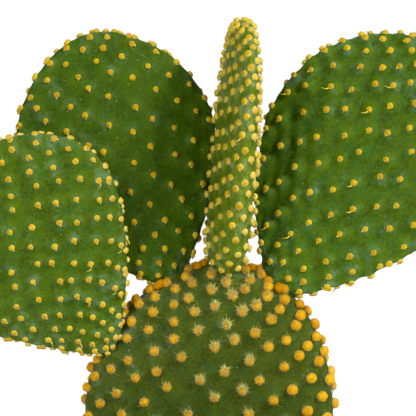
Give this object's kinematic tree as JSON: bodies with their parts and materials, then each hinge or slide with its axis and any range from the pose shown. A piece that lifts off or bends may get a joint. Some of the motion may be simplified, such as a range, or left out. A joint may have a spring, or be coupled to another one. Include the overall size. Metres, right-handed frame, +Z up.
{
  "type": "potted paddle cactus",
  "caption": "Paddle cactus with flat oval pads set with small round wool tufts, growing in soil in a plain tapered pot with a thick rim.",
  "frame": {"origin": "middle of the pot's flat underside, on the surface that the pot stands on", "axes": "+Z up along the pot, +X to the right across the broad faces of the pads, -Y towards the front of the plant"},
  "size_m": [0.2431, 0.12, 0.2766],
  "materials": {
    "pot": "matt fired clay",
    "soil": "crumbly, matt",
    "old_pad": "waxy skin, dull, with woolly tufts",
    "young_pad": "waxy skin, soft sheen, with woolly tufts",
    "wool": "dense fine bristles"
  },
  "bodies": {
    "root": {"pot": "pot", "soil": "soil", "mother_pad": "old_pad", "left_front_pad": "young_pad", "left_back_pad": "young_pad", "centre_pad": "young_pad", "right_pad": "young_pad"}
  },
  "joints": []
}
